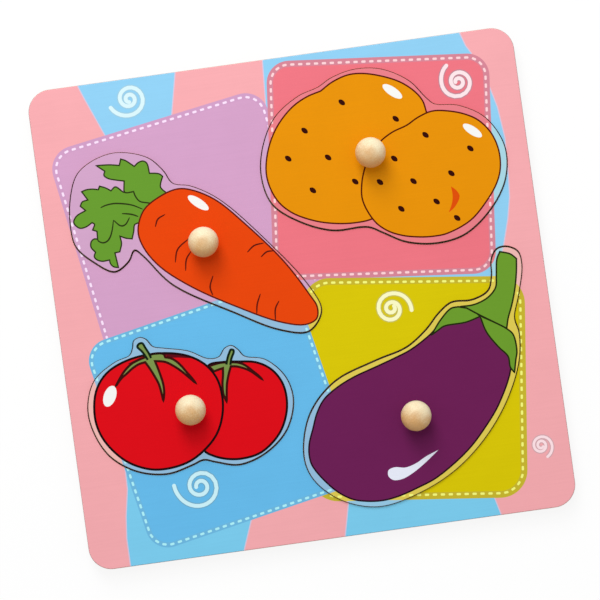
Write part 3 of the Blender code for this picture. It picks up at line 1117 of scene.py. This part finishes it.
def printed_lacquer():
    """Ink on fine veneer under a thin satin lacquer."""
    nodes = new_material("printed_lacquer")
    spot = nodes.spot()
    ink = nodes.add("VertexColor", layer_name="ink").outputs["Color"]
    fibre = nodes.noise(spot, (45.0, 1500.0, 1500.0), detail=4.0, roughness=0.6)
    cloud = nodes.noise(spot, (60.0, 60.0, 60.0), detail=2.0)
    speck = nodes.noise(spot, (2600.0, 2600.0, 2600.0), detail=2.0)
    lines = nodes.between(fibre, 0.3, 0.7, -0.012, 0.012)
    shade = nodes.math("ADD", lines, nodes.between(cloud, 0.3, 0.7, 0.99, 1.01))
    relief = nodes.math("ADD", nodes.math("MULTIPLY", fibre, 0.7), nodes.math("MULTIPLY", speck, 0.3))
    normal = nodes.bump(relief, 0.00004, 0.3)
    roughness = nodes.between(fibre, 0.3, 0.7, 0.4, 0.5)
    return nodes.shaded(nodes.scaled(ink, shade), roughness, normal, Specular_IOR_Level=0.04)


def bare_veneer():
    """Sanded birch veneer without a finish."""
    nodes = new_material("bare_veneer")
    spot = nodes.spot()
    bend = nodes.noise(spot, (14.0, 40.0, 14.0), detail=2.0)
    figure = nodes.noise(spot, (9.0, 150.0, 60.0), detail=4.0, roughness=0.55, distortion=0.4)
    streak = nodes.noise(spot, (40.0, 1900.0, 900.0), detail=3.0, roughness=0.6)
    pore = nodes.noise(spot, (320.0, 4200.0, 2500.0), detail=1.0)
    lines = nodes.between(streak, 0.25, 0.75, -0.25, 0.3)
    share = nodes.math("ADD", nodes.between(figure, 0.34, 0.68), lines)
    share = nodes.math("ADD", share, nodes.between(bend, 0.3, 0.7, -0.15, 0.15))
    share = nodes.math("MULTIPLY", share, 0.6)
    colour = nodes.mix(share, wood_colour("veneer_light"), wood_colour("veneer_dark"))
    colour = nodes.scaled(colour, nodes.between(pore, 0.26, 0.4, 0.72, 1.0))
    normal = nodes.bump(nodes.math("ADD", streak, nodes.between(pore, 0.26, 0.4)), 0.00001, 0.4)
    return nodes.shaded(colour, nodes.between(streak, 0.3, 0.7, 0.6, 0.75), normal)


def ply_edge():
    """The sawn edge of plywood: veneers that show long grain and end grain by turns, with glue between."""
    nodes = new_material("ply_edge")
    spot = nodes.spot()
    level = nodes.attribute("ply", "Fac")
    odd = nodes.math("MODULO", nodes.math("FLOOR", level), 2.0)
    turned = nodes.between(nodes.attribute("sideways", "Fac"), 0.6, 0.8)
    end = nodes.math("ABSOLUTE", nodes.math("SUBTRACT", odd, turned))
    long_noise = nodes.noise(spot, (90.0, 90.0, 2600.0), detail=4.0, roughness=0.6)
    end_noise = nodes.noise(spot, (2400.0, 2400.0, 1600.0), detail=3.0, roughness=0.6)
    long_shade = nodes.between(long_noise, 0.25, 0.75, 0.78, 1.1)
    end_shade = nodes.between(end_noise, 0.3, 0.7, 0.7, 1.15)
    long_colour = nodes.scaled(wood_colour("edge_long_grain"), long_shade)
    end_colour = nodes.scaled(wood_colour("edge_end_grain"), end_shade)
    to_glue = nodes.math("ABSOLUTE", nodes.math("SUBTRACT", nodes.math("FRACT", level), 0.5))
    glue = nodes.between(to_glue, 0.43, 0.49, 0.0, 0.7)
    colour = nodes.mix(glue, nodes.mix(end, long_colour, end_colour), wood_colour("edge_glue"))
    normal = nodes.bump(nodes.mix(end, long_noise, end_noise), 0.0001, 0.5)
    return nodes.shaded(colour, nodes.between(end_noise, 0.3, 0.7, 0.62, 0.8), normal)


def turned_wood():
    """Turned wood with a matt finish and fine streaks, and painted light: pale on the side towards the
    lamps, tan painted shade on the side away from them.
    """
    nodes = new_material("turned_wood")
    grain = nodes.attribute("grain", "Vector")
    from_axis, height = nodes.around(nodes.attribute("turned", "Vector"))
    wobble = nodes.noise(grain, (260.0, 260.0, 40.0), detail=2.0)
    streak = nodes.noise(grain, (2300.0, 2300.0, 160.0), detail=3.0, roughness=0.6)
    pore = nodes.noise(grain, (3000.0, 3000.0, 420.0), detail=1.0)
    growth = nodes.math("MULTIPLY", nodes.around(grain)[0], 4300.0)
    rings = nodes.math("SINE", nodes.math("ADD", growth, nodes.math("MULTIPLY", wobble, 13.0)))
    # Painted light: pale towards the lamps, tan painted shade away from them, with a wavering border
    border = nodes.attribute("heart", "Fac")
    for waver in (wobble, streak):
        border = nodes.math("ADD", border, nodes.between(waver, 0.3, 0.7, -0.001, 0.001))
    share = nodes.between(border, -0.0062, 0.0052)
    colour = nodes.mix(share, wood_colour("knob_painted_lit_side"), wood_colour("knob_painted_shade_side"))
    near_axis = nodes.between(from_axis, 0.001, 0.0035, 0.4, 0.0)
    on_top = nodes.math("MULTIPLY", near_axis, nodes.between(height, 0.009, 0.012))
    colour = nodes.mix(on_top, colour, wood_colour("knob_core"))
    fleck = nodes.between(pore, 0.25, 0.38, 0.86, 1.0)
    shade = nodes.math("ADD", fleck, nodes.math("MULTIPLY", rings, 0.015))
    shade = nodes.math("ADD", shade, nodes.between(streak, 0.3, 0.7, 0.03, -0.05))
    marks = nodes.math("SINE", nodes.math("MULTIPLY", height, 15000.0))
    normal = nodes.bump(nodes.math("ADD", nodes.math("MULTIPLY", marks, 0.12), streak), 0.00005, 0.35)
    roughness = nodes.between(streak, 0.3, 0.7, 0.45, 0.55)
    return nodes.shaded(nodes.scaled(colour, shade), roughness, normal, Specular_IOR_Level=0.4)


def plated_steel():
    """Zinc-plated steel with fine marks from forming."""
    nodes = new_material("plated_steel")
    spot = nodes.spot()
    cloud = nodes.noise(spot, (900.0, 900.0, 900.0), detail=3.0)
    marks = nodes.noise(spot, (1200.0, 1200.0, 9000.0), detail=2.0)
    colour = nodes.scaled(wood_colour("steel"), nodes.between(cloud, 0.3, 0.7, 0.85, 1.05))
    normal = nodes.bump(marks, 0.00002, 0.4)
    return nodes.shaded(colour, nodes.between(cloud, 0.3, 0.7, 0.28, 0.42), normal, Metallic=1.0)


def floor_white():
    """White paint that keeps the object's shadow and looks white to the camera and in reflections."""
    nodes = new_material("floor_white")
    rays = nodes.add("LightPath").outputs
    mirrored = nodes.math("MAXIMUM", rays["Is Glossy Ray"], rays["Is Transmission Ray"])
    seen = nodes.math("MAXIMUM", rays["Is Camera Ray"], mirrored)
    glow = nodes.add("Emission", {"Color": WHITE, "Strength": FLOOR_GLOW}).outputs["Emission"]
    dull = nodes.add("BsdfDiffuse", {"Color": FLOOR_PAINT}).outputs["BSDF"]
    share = nodes.math("MULTIPLY", seen, FLOOR_SEEN)
    return nodes.ended(nodes.add("MixShader", {0: share, 1: dull, 2: glow}).outputs[0])


MATERIAL_MAKERS = {
    "printed_lacquer": printed_lacquer,
    "bare_veneer": bare_veneer,
    "ply_edge": ply_edge,
    "turned_wood": turned_wood,
    "plated_steel": plated_steel,
    "floor_white": floor_white,
}


def shared_material(name):
    """A material, made when a piece first needs it."""
    return bpy.data.materials.get(name) or MATERIAL_MAKERS[name]()


def board_outline(node, radius):
    """The rounded rectangle of a board, from its CAD node, in millimetres."""
    low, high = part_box(node)
    corners = [(low.x, high.y), (low.x, low.y), (high.x, low.y), (high.x, high.y)]
    return rounded_loop([Vector(corner) / MM for corner in corners], radius / MM, CORNER_STEPS)


def knob_profile(sizes, ball, height):
    """The outline of a knob from its top to its pilot hole, as (radius, height)."""
    middle = height - math.sqrt(ball ** 2 - sizes.knob_flat_radius ** 2)
    first = math.asin(sizes.knob_flat_radius / ball)
    last = math.pi - math.asin(sizes.knob_foot_radius / ball)
    profile = [(0.0, height)]
    for step in range(BALL_STEPS):
        angle = first + (last - first) * step / BALL_STEPS
        profile.append((ball * math.sin(angle), middle + ball * math.cos(angle)))
    neck = middle + ball * math.cos(last)
    foot = sizes.knob_foot_radius
    return profile + [
        (foot - GROOVE, neck),
        (foot - GROOVE, neck - GROOVE),
        (foot, neck - 3 * GROOVE),
        (foot, GROOVE),
        (foot - GROOVE, 0.0),
        (sizes.knob_hole_radius, 0.0),
        (sizes.knob_hole_radius, sizes.knob_hole_depth - sizes.knob_hole_radius),
        (0.0, sizes.knob_hole_depth),
    ]


def turned_knob(name, node, number):
    """A ball on a short foot, with a pilot hole for its screw."""
    sizes = bpy.context.scene.puzzle_sizes
    low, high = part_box(node)
    axis = Vector(((low.x + high.x) / 2, (low.y + high.y) / 2, low.z))
    profile = knob_profile(sizes, (high.x - low.x) / 2, high.z - low.z)
    knob = bmesh.new()
    verts = [knob.verts.new((radius, 0.0, level)) for radius, level in profile]
    edges = [knob.edges.new(pair) for pair in zip(verts, verts[1:])]
    bmesh.ops.spin(
        knob,
        geom=verts + edges,
        cent=(0.0, 0.0, 0.0),
        axis=(0.0, 0.0, 1.0),
        angle=2 * math.pi,
        steps=sizes.knob_segments,
        use_merge=True,
    )
    bmesh.ops.remove_doubles(knob, verts=knob.verts, dist=WELD_DISTANCE)
    bmesh.ops.recalc_face_normals(knob, faces=knob.faces)
    turned = knob.verts.layers.float_vector.new("turned")
    grain = knob.verts.layers.float_vector.new("grain")
    # Each vertex notes how far it lies towards the knob's side away from the lamps, where the shade is
    # painted
    heart = knob.verts.layers.float.new("heart")
    swing = PAINTED_SHADE_TURN + PAINTED_SHADE_SWING * (-1) ** number
    away = Matrix.Rotation(swing, 3, "Z") @ Vector((0.0, -1.0, 0.0))
    log_turn = Matrix.Rotation(LOG_TURN * number, 3, "Z")
    log_place = Vector(LOG_PLACE) + Vector(LOG_STEP) * number
    for vert in knob.verts:
        vert[turned] = vert.co.copy()
        vert[grain] = log_turn @ vert.co + log_place
        vert[heart] = vert.co.dot(away)
    for face in knob.faces:
        face.smooth = True
    bmesh.ops.translate(knob, verts=knob.verts, vec=axis)
    piece = finished(name, knob, ["turned_wood"])
    piece.data.set_sharp_from_angle(angle=SHARP_ANGLE)
    return piece


class PUZZLE_OT_stage(bpy.types.Operator):
    """Add the floor, the soft light and the camera"""
    bl_idname = "puzzle.stage"
    bl_label = "Add Stage"

    def execute(self, context):
        stage = context.scene.puzzle_stage
        add_floor(stage)
        add_world(context.scene, stage)
        for level in ("high", "low"):
            add_lamp(stage, level)
        add_camera(context.scene, stage)
        context.scene.view_settings.view_transform = "Standard"
        return {"FINISHED"}


def add_floor(stage):
    """A white floor that keeps the object's shadow."""
    shape = bmesh.new()
    bmesh.ops.create_grid(shape, x_segments=1, y_segments=1, size=stage.floor_size / 2)
    bmesh.ops.translate(shape, verts=shape.verts, vec=(0.0, 0.0, -stage.floor_gap))
    finished("floor", shape, ["floor_white"])


def add_world(scene, stage):
    """Even light from all round, seen as white."""
    nodes = NodeTree(bpy.data.worlds.new("soft_surround"), "OutputWorld")
    sky = nodes.add("Background", {"Color": WHITE, "Strength": stage.sky_strength}).outputs[0]
    white = nodes.add("Background", {"Color": WHITE, "Strength": 1.0}).outputs[0]
    camera_ray = nodes.add("LightPath").outputs["Is Camera Ray"]
    scene.world = nodes.ended(nodes.add("MixShader", {0: camera_ray, 1: sky, 2: white}).outputs[0])


def add_lamp(stage, level):
    """One big soft lamp above the board's top edge."""
    data = bpy.data.lights.new(level + "_lamp", "AREA")
    data.energy = getattr(stage, level + "_power")
    data.size = getattr(stage, level + "_size")
    lamp = bpy.data.objects.new(level + "_lamp", data)
    bpy.context.scene.collection.objects.link(lamp)
    height = getattr(stage, level + "_elevation")
    towards = Matrix.Rotation(stage.lamp_turn, 3, "Z") @ Vector((0.0, math.cos(height), math.sin(height)))
    lamp.location = towards * stage.lamp_distance
    lamp.rotation_euler = (-towards).to_track_quat("-Z", "Y").to_euler()


def add_camera(scene, stage):
    """A long lens that looks almost straight down, rolled as the board lies in the picture."""
    data = bpy.data.cameras.new("camera")
    data.lens = stage.lens
    data.sensor_width = 36.0
    data.clip_end = 100.0
    camera = bpy.data.objects.new("camera", data)
    scene.collection.objects.link(camera)
    back = Vector((0.0, -math.cos(stage.elevation), math.sin(stage.elevation)))
    camera.location = Vector(stage.aim) + back * stage.distance
    look = (-back).to_track_quat("-Z", "Y").to_matrix()
    camera.rotation_euler = (look @ Matrix.Rotation(stage.roll, 3, "Z")).to_euler()
    scene.camera = camera


class PUZZLE_OT_backing(bpy.types.Operator):
    """Add the plain plywood backing"""
    bl_idname = "puzzle.backing"
    bl_label = "Add Backing"

    def execute(self, context):
        sizes = context.scene.puzzle_sizes
        low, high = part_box("backing_board")
        board = bmesh.new()
        bmesh.ops.create_cube(board, size=1.0)
        bmesh.ops.scale(board, verts=board.verts, vec=high - low)
        bmesh.ops.translate(board, verts=board.verts, vec=(low + high) / 2)
        upright = [edge for edge in board.edges if abs(edge.verts[0].co.z - edge.verts[1].co.z) > MM]
        bmesh.ops.bevel(
            board, geom=upright, offset=sizes.corner_radius, segments=CORNER_STEPS, profile=0.5,
            affect="EDGES", material=-1,
        )
        rims = [edge for edge in board.edges if abs(edge.verts[0].co.z - edge.verts[1].co.z) < MM]
        bmesh.ops.bevel(
            board, geom=rims, offset=sizes.backing_rim, segments=3, profile=0.5, affect="EDGES", material=-1
        )
        ply = board.verts.layers.float.new("ply")
        sideways = board.verts.layers.float.new("sideways")
        board.normal_update()
        for vert in board.verts:
            vert[ply] = sizes.backing_plies * (vert.co.z - low.z) / (high.z - low.z)
            vert[sideways] = abs(vert.normal.xy.normalized().x)
        for face in board.faces:
            face.material_index = 0 if abs(face.normal.z) > FLAT_TILT else 1
            face.smooth = face.material_index == 1
        piece = finished("ply_backing", board, ["bare_veneer", "ply_edge"])
        place(piece, "board", "backing_ply", "backing_board")
        return {"FINISHED"}


def frame_openings(sizes):
    """The frame's openings, a little closer than in the CAD, the eggplant's moved towards its stem."""
    outlines = cad_outlines("frame_board")[1:]
    if len(outlines) != len(VEGETABLES):
        raise RuntimeError("the frame has %d openings" % len(outlines))
    openings = [shifted_loop(smooth_line(outline), -sizes.kerf_trim / MM) for outline in outlines]
    low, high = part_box("eggplant_piece")
    middle = (low + high).xy / 2 / MM
    nearest = min(openings, key=lambda opening: (middle_of(opening) - middle).length)
    for point in nearest:
        point.y += sizes.stem_room / MM
    return openings


class PUZZLE_OT_frame(bpy.types.Operator):
    """Add the printed frame with its four openings"""
    bl_idname = "puzzle.frame"
    bl_label = "Add Printed Frame"

    def execute(self, context):
        sizes = context.scene.puzzle_sizes
        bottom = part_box("backing_board")[1].z
        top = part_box("frame_board")[1].z
        outline = board_outline("frame_board", sizes.corner_radius)
        shapes = ground_shapes(sizes) + spiral_shapes()
        piece = printed_board(
            "printed_frame", outline, frame_openings(sizes), shapes, (bottom, top), sizes.frame_plies,
            sizes.rim_radius,
        )
        place(piece, "board", "printed_frame", "frame_board")
        return {"FINISHED"}


class PUZZLE_OT_pieces(bpy.types.Operator):
    """Add the four printed vegetables"""
    bl_idname = "puzzle.pieces"
    bl_label = "Add Printed Pieces"

    def execute(self, context):
        sizes = context.scene.puzzle_sizes
        ground = margin_shapes(ground_shapes(sizes))
        for name in VEGETABLES:
            node = name + "_piece"
            low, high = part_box(node)
            knob_low, knob_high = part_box(name + "_knob")
            middle = (knob_low + knob_high).xy / 2 / MM
            outline = smooth_line(cad_outlines(node)[0])
            shapes = ground + VEGETABLE_SHAPES[name]() + shine_shapes(name)
            piece = printed_board(
                "printed_" + name, outline, [], shapes, (low.z, high.z), sizes.piece_plies, sizes.cut_rim,
                bore=middle,
            )
            place(piece, name, "printed_" + name, node)
        return {"FINISHED"}


class PUZZLE_OT_knobs(bpy.types.Operator):
    """Add the four turned knobs"""
    bl_idname = "puzzle.knobs"
    bl_label = "Add Knobs"

    def execute(self, context):
        for number, name in enumerate(VEGETABLES):
            node = name + "_knob"
            piece = turned_knob("turned_" + node, node, number)
            place(piece, name, "knob_wood", node)
        return {"FINISHED"}


class PUZZLE_OT_screws(bpy.types.Operator):
    """Give the knob screws their steel"""
    bl_idname = "puzzle.screws"
    bl_label = "Finish Screws"

    def execute(self, context):
        for name in VEGETABLES:
            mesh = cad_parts[name + "_knob_screw"].data
            mesh.materials.clear()
            mesh.materials.append(shared_material("plated_steel"))
        return {"FINISHED"}


class PUZZLE_PT_panel(bpy.types.Panel):
    """The puzzle's parts, sizes and colours"""
    bl_idname = "PUZZLE_PT_panel"
    bl_label = "Wooden Puzzle"
    bl_space_type = "VIEW_3D"
    bl_region_type = "UI"
    bl_category = "Puzzle"

    def draw(self, context):
        for operator in OPERATORS:
            self.layout.operator(operator.bl_idname)
        for name, group in GROUPS.items():
            box = self.layout.box()
            for setting in group.__annotations__:
                box.prop(getattr(context.scene, name), setting)


GROUPS = {
    "puzzle_inks": PuzzleInks,
    "puzzle_woods": PuzzleWoods,
    "puzzle_sizes": PuzzleSizes,
    "puzzle_stage": PuzzleStage,
}
OPERATORS = (
    PUZZLE_OT_stage,
    PUZZLE_OT_backing,
    PUZZLE_OT_frame,
    PUZZLE_OT_pieces,
    PUZZLE_OT_knobs,
    PUZZLE_OT_screws,
)


def register():
    """Registers the settings, the operators and the panel."""
    for kind in (*GROUPS.values(), *OPERATORS, PUZZLE_PT_panel):
        bpy.utils.register_class(kind)
    for name, group in GROUPS.items():
        setattr(bpy.types.Scene, name, PointerProperty(type=group))


def unregister():
    """Takes them off again."""
    for name in GROUPS:
        delattr(bpy.types.Scene, name)
    for kind in (PUZZLE_PT_panel, *reversed(OPERATORS), *GROUPS.values()):
        bpy.utils.unregister_class(kind)


def main():
    """Dresses the puzzle."""
    register()
    bpy.ops.puzzle.stage()
    bpy.ops.puzzle.backing()
    bpy.ops.puzzle.frame()
    bpy.ops.puzzle.pieces()
    bpy.ops.puzzle.knobs()
    bpy.ops.puzzle.screws()


if __name__ == "__main__":
    main()
